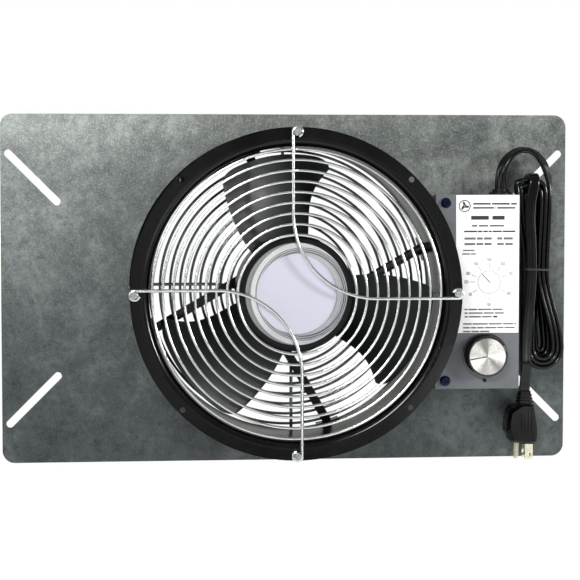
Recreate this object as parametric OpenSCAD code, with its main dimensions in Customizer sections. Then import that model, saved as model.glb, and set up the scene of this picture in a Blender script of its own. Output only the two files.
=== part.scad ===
// Crawl-space ventilation fan on a flat mounting plate, with a humidity
// control box, wire finger guards and a flat supply cord tied in a hank.
// Every module draws its part lying face up: x is across, y is up the plate and
// z is the height above the back of the plate. stand() then turns the drawing
// upright, so that the front faces -Y and y becomes +Z.
// The origin is on the fan's axis, on the back face of the mounting plate.

/* [Mounting plate] */
// Width of the plate
plate_w = 457.2; // [440:0.2:500]
// Height of the plate
plate_h = 279.4; // [270:0.2:320]
// Thickness of the plate
plate_t = 1.6; // [1.2:0.1:2]
// Radius of the plate's corners
plate_corner_r = 10; // [4:1:20]
// Width of each diagonal mounting slot
slot_w = 6.2; // [5:0.1:8]
// Distance between the two end centres of a slot
slot_span = 54; // [40:1:56]
// Distance of a slot's centre from the fan's axis, across
slot_x = 203.2; // [200:0.2:206]
// Distance of a slot's centre from the fan's axis, up
slot_y = 89; // [86:1:92]

/* [Fan frame] */
// Inside radius of the round air tube
tube_r = 112.4; // [112:0.1:113]
// Thickness of the frame's steel
frame_t = 1.2; // [1:0.1:1.3]
// Depth of the frame from flange to flange
frame_depth = 89; // [86:1:92]
// Outside radius of both flanges
flange_r = 127; // [126:0.1:128]
// Inner radius of the rolled bend between tube and flange
roll_r = 5; // [4:0.5:5.5]
// Radius of the circle that the flange holes lie on
hole_circle_r = 123.4; // [123:0.1:124]
// Diameter of the four open flange holes
flange_hole_d = 4.4; // [4.2:0.1:4.5]

/* [Wire guards] */
// Number of rings in each guard
ring_count = 9; // [5:1:9]
// Radius of the smallest ring
ring_first_r = 45.5; // [40:0.5:46]
// Distance from one ring to the next
ring_pitch = 8.1; // [7:0.1:8.1]
// Diameter of the ring wire
ring_wire_d = 2.2; // [2:0.1:2.4]
// Diameter of the strut wire
strut_wire_d = 2.6; // [2.4:0.1:2.8]
// Bend radius of the strut wires round the middle of the guard
strut_bend_r = 64.5; // [60:0.5:68]
// Centreline radius of the eyelets, and how far each strut runs beside the axis
eyelet_r = 3.4; // [3.4:0.1:3.6]

/* [Motor and impeller] */
// Outside radius of the rotor shell that the blades are welded to
hub_r = 44; // [43.5:0.1:44.5]
// Height of the rotor's front face above the plate's back
rotor_front_z = 88; // [86:0.5:89]
// Radius of the bright cap in the front of the rotor
cap_r = 39.2; // [38:0.1:40]
// Radius of the round label on the cap
hub_label_r = 30.5; // [28:0.5:31]
// Radius of the blade tips
blade_tip_r = 107; // [100:0.5:108]
// Thickness of the blade sheet, measured along the axis
blade_t = 1.7; // [1.2:0.1:2]
// Width of each flat arm of the motor spider
arm_w = 7; // [6:0.5:9]
// Distance of each arm's line from the fan's axis
arm_offset = 26; // [24:0.5:27]

/* [Control box] */
// Right side of the box
box_right = 181.3; // [180:0.1:182]
// Left side of the box, just clear of the air tube
box_left = 114.2; // [114.1:0.1:115]
// Top side of the box
box_top = 75.6; // [74:0.1:76]
// Bottom side of the box
box_bottom = -78.5; // [-80:0.1:-76]
// Height of the cover's face above the plate's back
box_front_z = 46.6; // [44:0.2:50]
// Thickness of the box's sheet steel
sheet_t = 1; // [0.8:0.1:1.1]
// Place of the control knob, across
knob_x = 154; // [150:0.5:158]
// Place of the control knob, up
knob_y = -52; // [-54:0.5:-50]
// Radius of the knob's skirt
knob_skirt_r = 18; // [17:0.1:19]
// Direction that the knob's pointer line runs in, from +x
pointer_angle = 190; // [180:1:200]

/* [Supply cord] */
// Width of the flat three-core cord
cord_w = 8.8; // [8:0.1:9]
// Thickness of the flat cord
cord_t = 3.5; // [3:0.1:3.6]

/* [Hidden] */
$fn = 72;

play = 0.05;                 // radial clearance of fits and of parts that only touch
quarter = [0, 90, 180, 270];

// heights of the fan above the plate's back
frame_z0 = plate_t + strut_wire_d;             // the rear guard is clamped under the frame
frame_z1 = frame_z0 + frame_depth;
weld_sink = 0.7;                               // how far the ring wires sink into the struts
ring_drop = (strut_wire_d + ring_wire_d) / 2 - weld_sink;
opening_r = tube_r + 1.6;                      // air opening in the plate
guard_screw_r = 1.9;
nut_af = 7;                                    // across flats of the M4 nuts
nut_h = 3.2;

// motor, from the back to the front
arm_z = 10;
arm_t = 2.5;
base_z = arm_z + arm_t;
shaft_r = 4;
bearing_r = 11;
bearing_w = 7;
rear_bearing_z = 13.5;
front_bearing_z = 66;
base_tube_r = 14.5;
core_z0 = 32;
core_z1 = 58;
stator_r = 37;
slot_count = 12;
shell_z0 = 30;
shell_t = 2;
cap_t = 2;

// blade outline, as polar angles of its two edges
lead_root_a = 138.2;
lead_tip_a = 124;
trail_a = 72.4;
trail_bow_a = 5.3;
blade_z_front = 82;
blade_z_rear = 40;
blade_camber = 4;
blade_root_r = hub_r + play;
corner_share = 0.16;         // share of the blade's width that each rounded corner takes
corner_cut = 7;

// control box
lip = 9;                     // depth of the cover's lips
wall_gap = 0.2;
base_right = box_right - sheet_t - wall_gap;
base_top = box_top - sheet_t - wall_gap;
base_bottom = box_bottom + sheet_t + wall_gap;
flange_w = 15;               // the base's turned-in flange, under the cover screws
cover_screw_x = 122;
cover_screw_y = [69, -72];
notch_r = hole_circle_r + eyelet_r + strut_wire_d / 2 + 1;
notch_z = 7;
label_x0 = 130.3;
label_y0 = -34;
label_edge = 0.5;
lead_r = 2.8;
sleeve_r = 4.2;
lead_z = base_z + sleeve_r + 0.1; // the lead runs along one arm of the spider
lead_dir = 30;

// knob and humidistat
knob_z0 = box_front_z + 0.5;
knob_skirt_h = 1.8;
knob_body_r = 15.85;
knob_top_z = 58;
disc_r = 14.3;
disc_t = 0.8;
stem_r = 3;
bushing_r = 4.7;
peg_offset = 19.8;           // of the small peg below the knob's axis

// inside the box
connector_x = [136, 147, 158];
connector_y = 40;
wire_r = 1.1;
ground_screw_at = [165, 30];

// supply cord: where it leaves the box, and where its solids lie
exit_x = 171;
exit_z = 20;
bushing_top_y = 80;
hank_z0 = 2.3;
hank_z1 = 27;
hank_top = [198.5, 76.5, 15.2];       // centre and radius of the upper loops
hank_bottom = [206.8, -49.5, 17.6]; // centre and radius of the lower loops
tie_y = 14.4;
tie_h = 3;
tie_t = 0.5;
waist = [189.4, 211.8];
plug_z = 15;
plug_neck_x = 193;
plug_lift = 1.6;             // the plug as a whole, above its drawn place

// Route of the cord from the bushing to the hank. Each point is x, y, z and the
// twist of the flat cord: 0 stands on its edge, 90 lies flat.
LEAD_ROUTE = [
    [171, 80, 20, 68], [171, 84.5, 20, 67], [171.2, 89.5, 20, 62],
    [172.4, 96, 19.8, 54], [175.2, 102, 19.5, 44], [179.4, 106.8, 19, 32],
    [184.6, 110.2, 18.6, 22], [190.4, 111.4, 18.4, 16], [196.2, 110.4, 18.3, 18],
    [201.4, 107.2, 18.3, 26], [205.6, 102.2, 18.4, 32], [208.8, 95.6, 18.6, 20],
    [210.8, 88, 18.8, 4], [211.8, 81, 19, 0]];
// Route of the cord from the hank to the plug
TAIL_ROUTE = [
    [192, -58, 25.1, 90], [192.1, -63, 24.6, 90], [192.3, -68, 23, 90],
    [192.6, -73, 20.4, 90], [192.9, -77.5, 17.6, 90], [193, -81, 15.8, 90],
    [193, -84.5, 15, 90]];

module stand() {
    rotate([90, 0, 0]) children();
}

module at_polar(radius, angles) {
    for (a = angles) rotate([0, 0, a]) translate([radius, 0, 0]) children();
}

// round rod between two points
module rod(from, to, r) {
    d = to - from;
    translate(from)
        rotate([0, acos(d[2] / norm(d)), atan2(d[1], d[0])])
            cylinder(h = norm(d), r = r);
}

// bent round wire in the plane of the drawing
module wire_arc(centre, bend_r, wire_r, from, turn) {
    translate(centre) rotate([0, 0, from])
        rotate_extrude(angle = turn) translate([bend_r, 0]) circle(wire_r);
}

module ring_solid(r_in, r_out, h) {
    difference() {
        cylinder(h = h, r = r_out);
        translate([0, 0, -1]) cylinder(h = h + 2, r = r_in);
    }
}

module hex_nut(across_flats, h, bore_r) {
    difference() {
        cylinder(h = h, r = across_flats / sqrt(3), $fn = 6);
        translate([0, 0, -1]) cylinder(h = h + 2, r = bore_r, $fn = 36);
    }
}

module pan_screw(head_r, head_h, shank_r, shank_l, recess_r) {
    difference() {
        union() {
            cylinder(h = head_h * 0.55, r = head_r);
            translate([0, 0, head_h * 0.55])
                cylinder(h = head_h * 0.45, r1 = head_r, r2 = head_r * 0.72);
            translate([0, 0, -shank_l]) cylinder(h = shank_l, r = shank_r);
        }
        for (a = [0, 90])
            rotate([0, 0, a])
                translate([-recess_r, -recess_r / 4, head_h * 0.45])
                    cube([2 * recess_r, recess_r / 2, head_h]);
    }
}

// ---- flat or round cord swept along a route ----
function unit(v) = v / norm(v);
function place(p) = [p[0], p[1], p[2]];
function along(route, i) =
    unit(place(route[min(i + 1, len(route) - 1)]) - place(route[max(i - 1, 0)]));
function cord_ring(route, i, w, t, sides) =
    let (run = along(route, i),
        side = unit(cross(run, [0, 0, 1])),
        up = cross(side, run),
        twist = route[i][3],
        wide = up * cos(twist) + side * sin(twist),
        thin = side * cos(twist) - up * sin(twist))
    [for (k = [0 : sides - 1])
        let (a = (k + 0.5) * 360 / sides,
            u = (w - t) / 2 * sign(cos(a)) + t / 2 * cos(a),
            v = t / 2 * sin(a))
        place(route[i]) + wide * u + thin * v];

module swept_cord(route, w, t, sides) {
    rings = len(route);
    last = (rings - 1) * sides;
    polyhedron(
        points = [for (i = [0 : rings - 1]) each cord_ring(route, i, w, t, sides)],
        faces = concat(
            [[for (k = [0 : sides - 1]) k]],
            [for (i = [0 : rings - 2], k = [0 : sides - 1])
                let (a = i * sides + k, b = i * sides + (k + 1) % sides)
                [a, a + sides, b + sides, b]],
            [[for (k = [sides - 1 : -1 : 0]) last + k]]));
}

// ---- mounting plate ----
module rounded_outline(w, h, r) {
    square([w - 2 * r, h], center = true);
    square([w, h - 2 * r], center = true);
    for (x = [-1, 1], y = [-1, 1]) translate([x * (w / 2 - r), y * (h / 2 - r)]) circle(r);
}

module slot_outline() {
    square([slot_span, slot_w], center = true);
    for (x = [-1, 1]) translate([x * slot_span / 2, 0]) circle(slot_w / 2);
}

module box_rivet_places() {
    for (x = [134, 172], y = [-66, 62]) translate([x, y, 0]) children();
}

module mounting_plate() {
    color([0.55, 0.58, 0.6]) stand() difference() {
        linear_extrude(plate_t) difference() {
            rounded_outline(plate_w, plate_h, plate_corner_r);
            circle(opening_r);
            for (x = [-1, 1], y = [-1, 1])
                translate([x * slot_x, y * slot_y]) rotate(x * y * 45) slot_outline();
        }
        at_polar(hole_circle_r, quarter) {
            translate([0, 0, -1]) cylinder(h = plate_t + 2, r = guard_screw_r + play);
            translate([0, 0, -1]) cylinder(h = 1.9, r = 3 + play);
        }
        box_rivet_places() translate([0, 0, -1]) cylinder(h = plate_t + 2, r = 1.6 + play);
    }
}

// clinch studs that hold the frame; their heads are flush with the plate's back
module plate_studs() {
    color([0.75, 0.76, 0.78]) stand() at_polar(hole_circle_r, quarter) {
        translate([0, 0, 0.05]) cylinder(h = 0.8, r = 3);
        translate([0, 0, 0.05]) cylinder(h = frame_z0 + frame_t + nut_h + 1.2, r = guard_screw_r);
    }
}

// ---- fan frame: tube with a rolled flange at each end ----
module flange_profile() {
    roll_c = tube_r + frame_t + roll_r;
    translate([roll_c, -frame_t]) square([flange_r - roll_c, frame_t]);
    translate([roll_c, -frame_t - roll_r]) intersection() {
        difference() {
            circle(roll_r + frame_t);
            circle(roll_r);
        }
        translate([-roll_r - frame_t, 0]) square(roll_r + frame_t);
    }
}

module fan_frame() {
    bend = roll_r + frame_t;
    color([0.08, 0.08, 0.09]) stand() difference() {
        rotate_extrude() {
            translate([tube_r, frame_z0 + bend]) square([frame_t, frame_depth - 2 * bend]);
            translate([0, frame_z1]) flange_profile();
            translate([0, frame_z0]) mirror([0, 1]) flange_profile();
        }
        at_polar(hole_circle_r, quarter) cylinder(h = frame_z1 + 1, r = guard_screw_r + 0.15);
        rotate([0, 0, 45])
            at_polar(hole_circle_r, quarter) cylinder(h = frame_z1 + 1, r = flange_hole_d / 2);
        lead_hole();
    }
}

// ---- wire finger guard, the same in front and at the back ----
module strut_wire() {
    wire = strut_wire_d / 2;
    bend_c = strut_bend_r - eyelet_r;
    wire_arc([bend_c, bend_c, 0], strut_bend_r, wire, 180, 90);
    for (swap = [0, 1]) mirror([swap, -swap, 0]) {
        rod([bend_c, -eyelet_r, 0], [hole_circle_r, -eyelet_r, 0], wire);
        wire_arc([hole_circle_r, 0, 0], eyelet_r, wire, -90, 255);
    }
}

module wire_guard(strut_z) {
    color([0.85, 0.86, 0.87]) stand() translate([0, 0, strut_z]) {
        for (a = [0, 180]) rotate([0, 0, a]) strut_wire();
        for (k = [0 : ring_count - 1])
            translate([0, 0, -ring_drop])
                rotate_extrude() translate([ring_first_r + k * ring_pitch, 0])
                    circle(ring_wire_d / 2);
    }
}

module rear_guard() {
    wire_guard(plate_t + strut_wire_d / 2);
}

module front_guard() {
    wire_guard(frame_z1 + strut_wire_d / 2);
}

module rear_guard_nuts() {
    color([0.75, 0.76, 0.78]) stand()
        at_polar(hole_circle_r, quarter) translate([0, 0, frame_z0 + frame_t])
            hex_nut(nut_af, nut_h, guard_screw_r + play);
}

module guard_screws() {
    color([0.8, 0.8, 0.82]) stand()
        at_polar(hole_circle_r, quarter) translate([0, 0, frame_z1 + strut_wire_d])
            pan_screw(3.1, 2.4, guard_screw_r, strut_wire_d + frame_t + nut_h + 1, 1.3);
}

module guard_nuts() {
    color([0.75, 0.76, 0.78]) stand()
        at_polar(hole_circle_r, quarter) translate([0, 0, frame_z1 - frame_t - nut_h])
            hex_nut(nut_af, nut_h, guard_screw_r + play);
}

// ---- motor support: four flat arms set beside the axis, with welded feet ----
module motor_spider() {
    inner = tube_r - play;
    foot_t = 1.5;
    color([0.09, 0.09, 0.1]) stand() difference() {
        union() {
            translate([0, 0, arm_z]) cylinder(h = arm_t, r = 36);
            intersection() {
                for (a = quarter)
                    rotate([0, 0, a + lead_dir]) translate([0, -arm_offset - arm_w / 2, arm_z])
                        cube([tube_r + 2, arm_w, arm_t]);
                cylinder(h = 40, r = inner - foot_t / 2);
            }
            intersection() {
                translate([0, 0, arm_z]) ring_solid(inner - foot_t, inner, 12);
                for (a = quarter)
                    rotate([0, 0, a + lead_dir]) translate([90, -arm_offset - 9, 0])
                        cube([30, 18, 40]);
            }
        }
        translate([0, 0, arm_z - 1]) cylinder(h = arm_t + 2, r = 15);
        at_polar(24, quarter) translate([0, 0, arm_z - 1]) cylinder(h = arm_t + 2, r = 2.1);
        lead_hole();
    }
}

// stator carrier: mounting disc with the bearing tube standing on it
module motor_base() {
    color([0.7, 0.71, 0.72]) stand() difference() {
        union() {
            translate([0, 0, base_z]) cylinder(h = 3.5, r = 30);
            translate([0, 0, base_z]) cylinder(h = front_bearing_z + bearing_w - base_z, r = base_tube_r);
        }
        translate([0, 0, base_z - 1])
            cylinder(h = rear_bearing_z + bearing_w - base_z + 1, r = bearing_r + play);
        translate([0, 0, front_bearing_z - 0.6])
            cylinder(h = bearing_w + 2, r = bearing_r + play);
        translate([0, 0, base_z]) cylinder(h = 80, r = 6);
        at_polar(24, quarter) translate([0, 0, base_z - 1]) cylinder(h = 6, r = 2);
    }
}

module motor_screws() {
    color([0.75, 0.76, 0.78]) stand()
        at_polar(24, quarter) translate([0, 0, arm_z]) mirror([0, 0, 1])
            pan_screw(3.6, 2.4, 2 - play, arm_t + 3.2, 1.5);
}

module stator_core() {
    color([0.45, 0.46, 0.48]) stand() translate([0, 0, core_z0]) difference() {
        ring_solid(base_tube_r + play, stator_r, core_z1 - core_z0);
        for (k = [0 : slot_count - 1])
            rotate([0, 0, k * 360 / slot_count]) {
                translate([22, -3, -1]) cube([11, 6, core_z1]);
                translate([30, -1, -1]) cube([10, 2, core_z1]);
            }
    }
}

module stator_windings() {
    color([0.65, 0.35, 0.15]) stand() {
        for (z = [core_z0 - 8, core_z1 + play])
            translate([0, 0, z]) ring_solid(17, 34, 8 - play);
        for (k = [0 : slot_count - 1])
            rotate([0, 0, k * 360 / slot_count])
                translate([22.3, -2.7, core_z0 - 1]) cube([10.4, 5.4, core_z1 - core_z0 + 2]);
    }
}

module ball_bearing(z) {
    color([0.8, 0.81, 0.83]) stand() translate([0, 0, z]) difference() {
        ring_solid(shaft_r + play, bearing_r, bearing_w);
        for (end = [-1, bearing_w - 0.5])
            translate([0, 0, end]) ring_solid(6.2, 9.4, 1.5);
    }
}

module front_bearing() {
    ball_bearing(front_bearing_z);
}

module rear_bearing() {
    ball_bearing(rear_bearing_z);
}

module preload_washer() {
    color([0.7, 0.7, 0.72]) stand()
        translate([0, 0, front_bearing_z - 0.55]) ring_solid(8.2, bearing_r - 0.2, 0.5);
}

module motor_shaft() {
    z0 = rear_bearing_z - 3;
    color([0.8, 0.81, 0.83]) stand() difference() {
        translate([0, 0, z0]) cylinder(h = rotor_front_z - cap_t - 1 - z0, r = shaft_r);
        translate([0, 0, rear_bearing_z - 1.5]) ring_solid(3.4, 5, 0.9);
    }
}

module shaft_circlip() {
    color([0.3, 0.3, 0.32]) stand() translate([0, 0, rear_bearing_z - 1.45]) difference() {
        ring_solid(3.4 + play, 6, 0.8);
        translate([0, -1.5, -1]) cube([10, 3, 3]);
    }
}

// ---- rotor: laminated ring in a black shell, closed by a bright stepped cap ----
module rotor_core() {
    color([0.45, 0.46, 0.48]) stand()
        translate([0, 0, core_z0]) ring_solid(stator_r + 0.4, hub_r - shell_t - play, core_z1 - core_z0);
}

module rotor_shell() {
    color([0.07, 0.07, 0.08]) stand() rotate_extrude() {
        translate([hub_r - shell_t, shell_z0])
            square([shell_t, rotor_front_z - 2.5 - shell_z0]);
        translate([cap_r + play, rotor_front_z - 4]) square([hub_r - 1.5 - cap_r - play, 2.5]);
        translate([hub_r - 1.5, rotor_front_z - 3]) intersection() {
            circle(1.5);
            square(1.5);
        }
        translate([hub_r - shell_t, rotor_front_z - 4]) square([shell_t - 0.5, 1.5]);
    }
}

module rotor_cap() {
    step_r = [cap_r, cap_r - 2.6, cap_r - 4.6, hub_label_r + 1.2, hub_label_r + 0.4];
    step_z = [2.2, 0.6, 1.4, 0, 1.2];
    top = rotor_front_z;
    color([0.8, 0.8, 0.84]) stand() difference() {
        rotate_extrude() {
            for (k = [0 : 3])
                translate([step_r[k + 1], top - 4.6])
                    square([step_r[k] - step_r[k + 1], 4.6 - step_z[k]]);
            translate([0, top - 4.6]) square([step_r[4], 4.6 - step_z[4]]);
            translate([shaft_r + play, front_bearing_z + bearing_w + 1])
                square([4, top - 4.6 - (front_bearing_z + bearing_w + 1)]);
        }
        translate([0, 0, 60]) cylinder(h = top - cap_t - 1 + play - 60, r = shaft_r + play);
    }
}

module rotor_label() {
    color([0.9, 0.88, 0.96]) stand()
        translate([0, 0, rotor_front_z - 1.2]) cylinder(h = 0.25, r = hub_label_r);
}

// ---- blades: rolled sheet between two edges given in polar form ----
BLADE_U = 10;
BLADE_V = 14;
function lead_edge(u) = lead_root_a + (lead_tip_a - lead_root_a) * u;
function trail_edge(u) = trail_a + trail_bow_a * sin(180 * u);
function corner_in(v) = max(0, (abs(2 * v - 1) - 1 + 2 * corner_share) / (2 * corner_share));
function tip_at(v) = blade_tip_r - corner_cut * (1 - sqrt(1 - pow(corner_in(v), 2)));
function blade_height(v) =
    blade_z_front + (blade_z_rear - blade_z_front) * v + blade_camber * 4 * v * (1 - v);
function blade_point(u, v, side) =
    let (r = blade_root_r + (tip_at(v) - blade_root_r) * u,
        a = lead_edge(u) + (trail_edge(u) - lead_edge(u)) * v)
    [r * cos(a), r * sin(a), blade_height(v) + side * blade_t / 2];

module fan_blade(turn) {
    row = BLADE_V + 1;
    size = (BLADE_U + 1) * row;
    points = [for (side = [1, -1], i = [0 : BLADE_U], j = [0 : BLADE_V])
        blade_point(i / BLADE_U, j / BLADE_V, side)];
    grid = [for (i = [0 : BLADE_U - 1], j = [0 : BLADE_V - 1]) i * row + j];
    rim = concat(
        [for (j = [0 : BLADE_V - 1]) [j, j + 1]],
        [for (i = [0 : BLADE_U - 1]) [i * row + BLADE_V, (i + 1) * row + BLADE_V]],
        [for (j = [BLADE_V - 1 : -1 : 0]) [BLADE_U * row + j + 1, BLADE_U * row + j]],
        [for (i = [BLADE_U - 1 : -1 : 0]) [(i + 1) * row, i * row]]);
    color([0.13, 0.15, 0.15]) stand() rotate([0, 0, turn]) polyhedron(
        points = points,
        faces = concat(
            [for (q = grid) [q, q + row, q + 1]],
            [for (q = grid) [q + 1, q + row, q + row + 1]],
            [for (q = grid) [q + size, q + 1 + size, q + row + size]],
            [for (q = grid) [q + 1 + size, q + row + 1 + size, q + row + size]],
            [for (e = rim) [e[0], e[1], e[1] + size]],
            [for (e = rim) [e[0], e[1] + size, e[0] + size]]));
}

// ---- motor lead: lies on one arm, then goes through the tube into the box ----
module lead_hole() {
    rotate([0, 0, lead_dir]) translate([95, -arm_offset, lead_z])
        rotate([0, 90, 0]) cylinder(h = 40, r = sleeve_r + play);
}

module motor_lead() {
    color([0.1, 0.1, 0.1]) stand() rotate([0, 0, lead_dir])
        swept_cord([[24, -21, 23, 0], [25.5, -23, 20, 0], [28, -25, 17, 0],
            [32, -arm_offset, lead_z, 0], [70, -arm_offset, lead_z, 0],
            [132, -arm_offset, lead_z, 0]], 2 * lead_r, 2 * lead_r - 0.02, 12);
}

module lead_sleeve() {
    color([0.15, 0.15, 0.16]) stand() rotate([0, 0, lead_dir])
        translate([104, -arm_offset, lead_z]) rotate([0, 90, 0])
            ring_solid(lead_r + play, sleeve_r, 20);
}

// ---- control box ----
module box_outline(left, right, bottom, top) {
    translate([left, bottom]) square([right - left, top - bottom]);
}

module box_base() {
    inner = [box_left + sheet_t, base_right - sheet_t, base_bottom + sheet_t, base_top - sheet_t];
    color([0.62, 0.63, 0.68]) stand() difference() {
        union() {
            translate([0, 0, plate_t]) linear_extrude(sheet_t)
                box_outline(box_left, base_right, base_bottom, base_top);
            translate([0, 0, plate_t]) linear_extrude(box_front_z - sheet_t - plate_t) difference() {
                box_outline(box_left, base_right, base_bottom, base_top);
                box_outline(inner[0], inner[1], inner[2], inner[3]);
            }
            translate([0, 0, box_front_z - 2 * sheet_t]) linear_extrude(sheet_t)
                box_outline(box_left, box_left + flange_w, base_bottom, base_top);
        }
        translate([0, 0, plate_t - 1]) cylinder(h = notch_z - plate_t + 1, r = notch_r);
        lead_hole();
        translate([exit_x, base_top - 5, exit_z]) rotate([-90, 0, 0]) cylinder(h = 10, r = 7 + play);
        for (y = cover_screw_y)
            translate([cover_screw_x, y, box_front_z - 10]) cylinder(h = 12, r = 1.9 + play);
        box_rivet_places() cylinder(h = 10, r = 1.6 + play);
        translate([ground_screw_at[0], ground_screw_at[1], 0]) cylinder(h = 10, r = 1.9 + play);
    }
}

module box_rivets() {
    color([0.7, 0.71, 0.73]) stand() box_rivet_places() {
        translate([0, 0, 0.1]) cylinder(h = plate_t + sheet_t - 0.1, r = 1.6);
        translate([0, 0, plate_t + sheet_t]) cylinder(h = 1, r1 = 3.2, r2 = 2.4);
    }
}

module box_cover() {
    color([0.62, 0.63, 0.68]) stand() difference() {
        union() {
            translate([0, 0, box_front_z - sheet_t]) linear_extrude(sheet_t)
                box_outline(box_left, box_right, box_bottom, box_top);
            translate([0, 0, box_front_z - lip]) linear_extrude(lip - sheet_t / 2) difference() {
                box_outline(box_left, box_right, box_bottom, box_top);
                box_outline(box_left - 1, box_right - sheet_t, box_bottom + sheet_t, box_top - sheet_t);
            }
        }
        for (y = cover_screw_y)
            translate([cover_screw_x, y, box_front_z - 5]) cylinder(h = 10, r = 2.2);
        translate([knob_x, knob_y, box_front_z - 5]) cylinder(h = 10, r = bushing_r + play);
        translate([knob_x, knob_y - peg_offset, box_front_z - 5]) cylinder(h = 10, r = 1 + play);
    }
}

module cover_screws() {
    color([0.1, 0.11, 0.2]) stand()
        for (y = cover_screw_y)
            translate([cover_screw_x, y, box_front_z]) pan_screw(4, 2.6, 1.9, 8, 1.8);
}

module rating_label() {
    color([0.95, 0.95, 0.95]) stand()
        translate([label_x0, label_y0, box_front_z])
            cube([box_right - label_edge - label_x0, box_top - label_edge - label_y0, 0.2]);
}

// ---- humidistat, its shaft and the knob ----
module humidistat_body() {
    top = box_front_z - sheet_t;
    color([0.85, 0.83, 0.75]) stand() translate([knob_x, knob_y, 0]) difference() {
        union() {
            translate([-18, -21, top - 26]) cube([36, 44, 26]);
            translate([0, 0, top]) cylinder(h = sheet_t + 4.6, r = bushing_r);
        }
        translate([0, 0, top - 14]) cylinder(h = 30, r = stem_r + play);
        translate([0, 0, top - 14]) cylinder(h = 4.4, r = 5.6);
    }
}

module humidistat_nut() {
    color([0.75, 0.76, 0.78]) stand() translate([knob_x, knob_y, box_front_z])
        hex_nut(13, 2.2, bushing_r + play);
}

module humidistat_shaft() {
    z0 = box_front_z - sheet_t - 13.8;
    color([0.8, 0.81, 0.83]) stand() translate([knob_x, knob_y, z0]) {
        cylinder(h = 3.9, r = 5.3);
        cylinder(h = knob_top_z - 2 - z0, r = stem_r);
    }
}

module control_knob() {
    color([0.06, 0.06, 0.06]) stand() translate([knob_x, knob_y, 0]) difference() {
        rotate_extrude() {
            translate([0, knob_z0]) square([knob_skirt_r, knob_skirt_h]);
            translate([0, knob_z0]) square([knob_body_r, knob_top_z - knob_z0 - 0.8]);
            translate([0, knob_z0]) square([knob_body_r - 0.8, knob_top_z - knob_z0]);
            translate([knob_body_r - 0.8, knob_top_z - 0.8]) circle(0.8);
        }
        translate([0, 0, knob_top_z - disc_t]) cylinder(h = 3, r = disc_r + play);
        translate([0, 0, knob_z0 - 1]) cylinder(h = 6, r = 8.2);
        translate([0, 0, knob_z0 - 1]) cylinder(h = knob_top_z - 2 + play - knob_z0 + 1, r = stem_r + play);
    }
}

module knob_disc() {
    color([0.78, 0.77, 0.74]) stand() translate([knob_x, knob_y, knob_top_z - disc_t]) difference() {
        cylinder(h = disc_t, r = disc_r);
        rotate([0, 0, pointer_angle]) translate([0, -0.45, -1]) cube([disc_r + 1, 0.9, 3]);
    }
}

// small peg under the knob's skirt, a mark for the dial
module dial_stop() {
    color([0.06, 0.06, 0.06]) stand() translate([knob_x, knob_y - peg_offset, box_front_z - sheet_t]) {
        cylinder(h = sheet_t, r = 1);
        translate([0, 0, sheet_t]) cylinder(h = 1.2, r1 = 1.5, r2 = 1.2);
    }
}

// ---- inside the box ----
module freeze_thermostat() {
    color([0.25, 0.25, 0.27]) stand() translate([158, -8, plate_t + sheet_t]) {
        translate([-14, -5, 0]) cube([28, 10, 0.8]);
        cylinder(h = 9, r = 8.2);
        for (x = [-1, 1]) translate([x * 4 - 0.4, -3, 8]) cube([0.8, 6, 7]);
    }
}

module wire_connectors() {
    color([0.85, 0.45, 0.1]) stand()
        for (x = connector_x) translate([x, connector_y, exit_z]) rotate([-90, 0, 0]) {
            cylinder(h = 14, r1 = 5, r2 = 3.6);
            cylinder(h = 4, r = 5.2);
        }
}

module ground_screw() {
    color([0.1, 0.5, 0.2]) stand()
        translate([ground_screw_at[0], ground_screw_at[1], plate_t + sheet_t]) {
        translate([0, 0, 0.8]) cylinder(h = 3, r = 4, $fn = 6);
        translate([0, 0, play - sheet_t]) cylinder(h = 3, r = 1.9);
    }
}

module wire(route) {
    swept_cord([for (p = route) [p[0], p[1], p[2], 0]], 2 * wire_r, 2 * wire_r - 0.02, 8);
}

// wires end a hair short of the connectors and the humidistat
module line_wires() {
    color([0.1, 0.1, 0.1]) stand() {
        wire([[171, 64.2, 20], [170.4, 56, 20.6], [169.4, 46, 22], [168, 36, 23],
            [165, 30, 23.4], [161.4, 29, 22.6], [158.8, 31.4, 21], [158, 35.4, 20],
            [158, connector_y - 0.15, 20]]);
        wire([[136, connector_y - 0.15, 20], [136, 34, 20], [134.6, 24, 21],
            [133.6, 10, 23], [135, -6, 25], [140, -16, 26], [145, -21.6, 26],
            [147.4, -25, 26], [148, -28.8, 26]]);
    }
}

module neutral_wires() {
    color([0.9, 0.9, 0.88]) stand()
        wire([[167.6, 64.2, 22], [166.4, 54, 25.6], [165, 44, 28], [162, 34, 28],
            [157, 27, 27], [152, 24.2, 25], [148.6, 26.4, 22.4], [147.2, 31, 20.6],
            [147, 35.4, 20], [147, connector_y - 0.15, 20]]);
}

module ground_wire() {
    color([0.1, 0.5, 0.2]) stand()
        wire([[173.5, 64, 17], [174, 54, 12], [172, 42, 6], [170.4, 30, 4.6]]);
}

// ---- supply cord ----
module cord_bushing() {
    color([0.07, 0.07, 0.07]) stand() translate([exit_x, 0, exit_z]) rotate([-90, 0, 0]) {
        translate([0, 0, base_top - 9]) cylinder(h = 9, r = 7);
        translate([0, 0, base_top]) cylinder(h = 3, r = 9);
        translate([0, 0, base_top + 3])
            cylinder(h = bushing_top_y - base_top - 3, r1 = 7, r2 = 5.2);
    }
}

module cord_lead() {
    color([0.05, 0.05, 0.05]) stand() swept_cord(LEAD_ROUTE, cord_w, cord_t, 12);
}

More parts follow.
